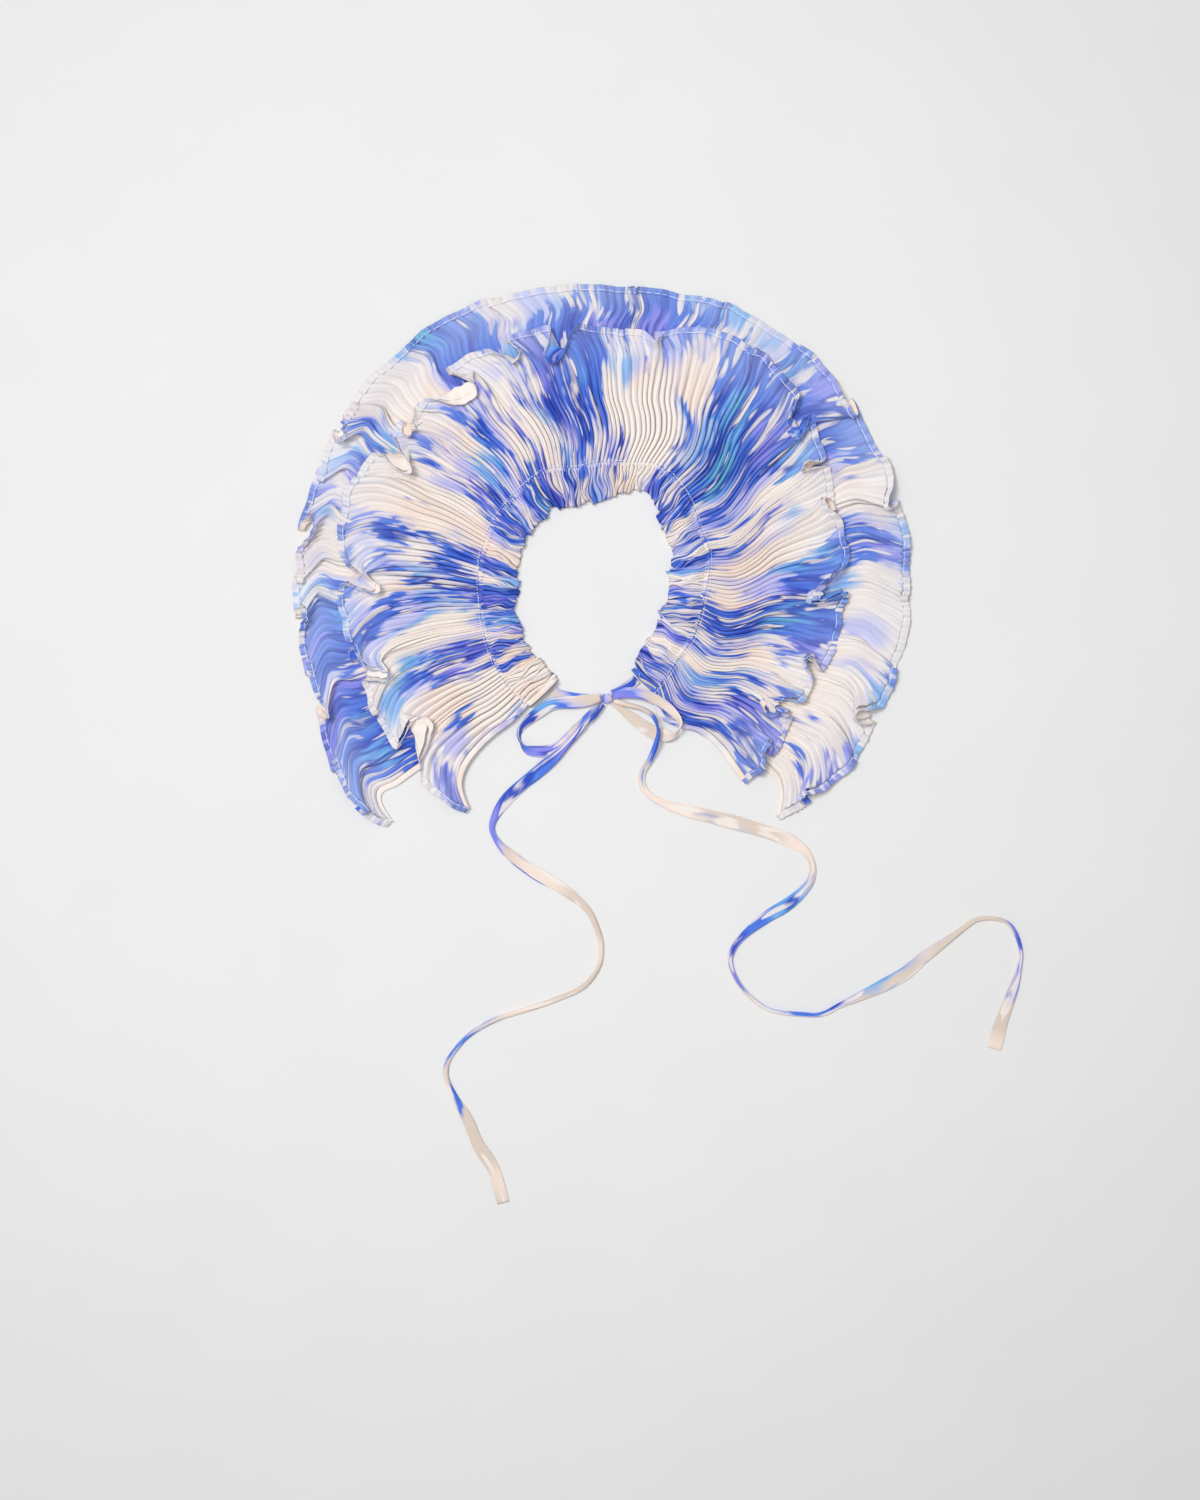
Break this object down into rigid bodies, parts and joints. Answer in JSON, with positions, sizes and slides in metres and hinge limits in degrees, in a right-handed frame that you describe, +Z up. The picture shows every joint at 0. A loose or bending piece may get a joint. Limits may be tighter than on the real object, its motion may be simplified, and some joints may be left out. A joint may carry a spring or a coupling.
{
  "type": "pleated ruffle collar",
  "caption": "Detachable two-tier accordion-pleated ruffle collar on a gathered drawstring casing, laid flat, with its flat tie in a bow at the front.",
  "frame": {"origin": "middle of the collar's outline, on the surface it lies on, its loose tie not counted", "axes": "+Z up from the surface, +Y towards the back of the neck, +X to the right as seen from above with the bow nearest"},
  "size_m": [0.5089, 0.6451, 0.0142],
  "materials": {
    "printed_pleat": "accordion-pleated crepe, cream ground with cobalt, periwinkle and sky brush blotches",
    "hem": "narrow turned hem of the same cloth",
    "tie": "flat tube tie of the same cloth"
  },
  "bodies": {
    "root": {"neck_casing": "printed_pleat", "under_tier": "printed_pleat", "under_hem": "hem", "under_front_edge_left": "hem", "under_front_edge_right": "hem", "upper_tier": "printed_pleat", "upper_hem": "hem", "upper_front_edge_left": "hem", "upper_front_edge_right": "hem", "tie_knot": "tie", "tie_tail_left": "tie", "tie_tail_right": "tie", "bow_loop_left": "tie", "bow_loop_right": "tie", "tie_stub_left": "tie", "tie_stub_right": "tie"}
  },
  "joints": []
}
